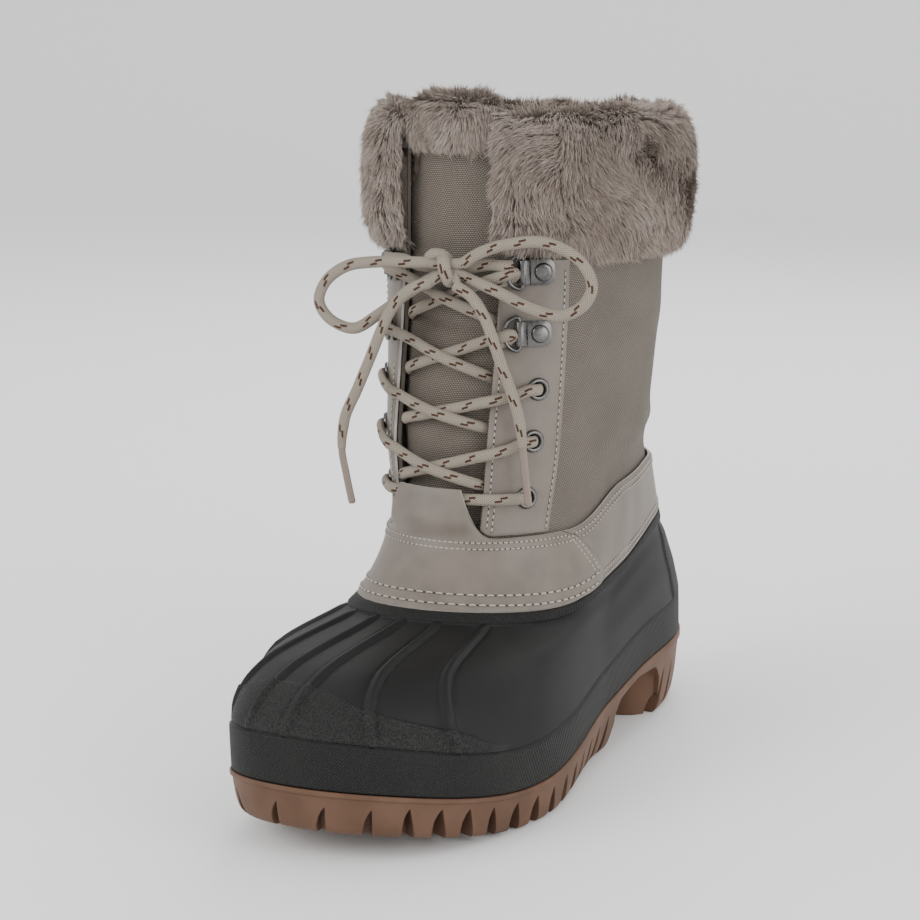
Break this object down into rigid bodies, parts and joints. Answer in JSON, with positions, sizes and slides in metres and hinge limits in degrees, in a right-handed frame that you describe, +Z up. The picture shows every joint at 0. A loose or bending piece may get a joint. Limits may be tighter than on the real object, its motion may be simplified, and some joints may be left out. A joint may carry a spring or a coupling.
{
  "type": "lace-up boot",
  "caption": "Lace-up winter boot: moulded rubber shell on a lugged gum sole, leather-trimmed woven shaft, padded tongue, fur cuff, cord lace tied in a bow.",
  "frame": {"origin": "on the floor, at the bottom centre of the boot's box, its free lace left out", "axes": "+Z up, the toe towards -Y and the heel towards +Y, the outer side of the left foot towards +X"},
  "size_m": [0.1349, 0.2902, 0.273],
  "materials": {
    "black_rubber": "black moulded rubber, matt with pebbled panels",
    "fur": "grey-brown plush pile, pale tips",
    "gum_rubber": "brown gum rubber, satin",
    "lace": "beige braided cord with brown flecks",
    "leather": "taupe smooth leather with pale stitching",
    "lining": "short plush",
    "metal": "dark nickel plate",
    "nylon": "taupe woven nylon"
  },
  "bodies": {
    "root": {"clip_inner_1": "metal", "clip_inner_2": "metal", "clip_outer_1": "metal", "clip_outer_2": "metal", "eyelet_inner_1": "metal", "eyelet_inner_2": "metal", "eyelet_inner_3": "metal", "eyelet_outer_1": "metal", "eyelet_outer_2": "metal", "eyelet_outer_3": "metal", "eyestay_inner": "leather", "eyestay_outer": "leather", "fur_cuff": "fur", "heel_band": "leather", "insole": "lining", "lace_bar": "lace", "lace_crossing_1": "lace", "lace_crossing_2": "lace", "lace_crossing_3": "lace", "lace_crossing_4": "lace", "lace_end_inner": "lace", "lace_end_outer": "lace", "lace_knot": "lace", "lace_loop_inner": "lace", "lace_loop_outer": "lace", "outsole": "gum_rubber", "ring_inner_1": "metal", "ring_inner_2": "metal", "ring_outer_1": "metal", "ring_outer_2": "metal", "rubber_shell": "black_rubber", "shaft": "nylon", "tongue": "nylon", "tongue_fur": "fur", "vamp_band": "leather"}
  },
  "joints": []
}
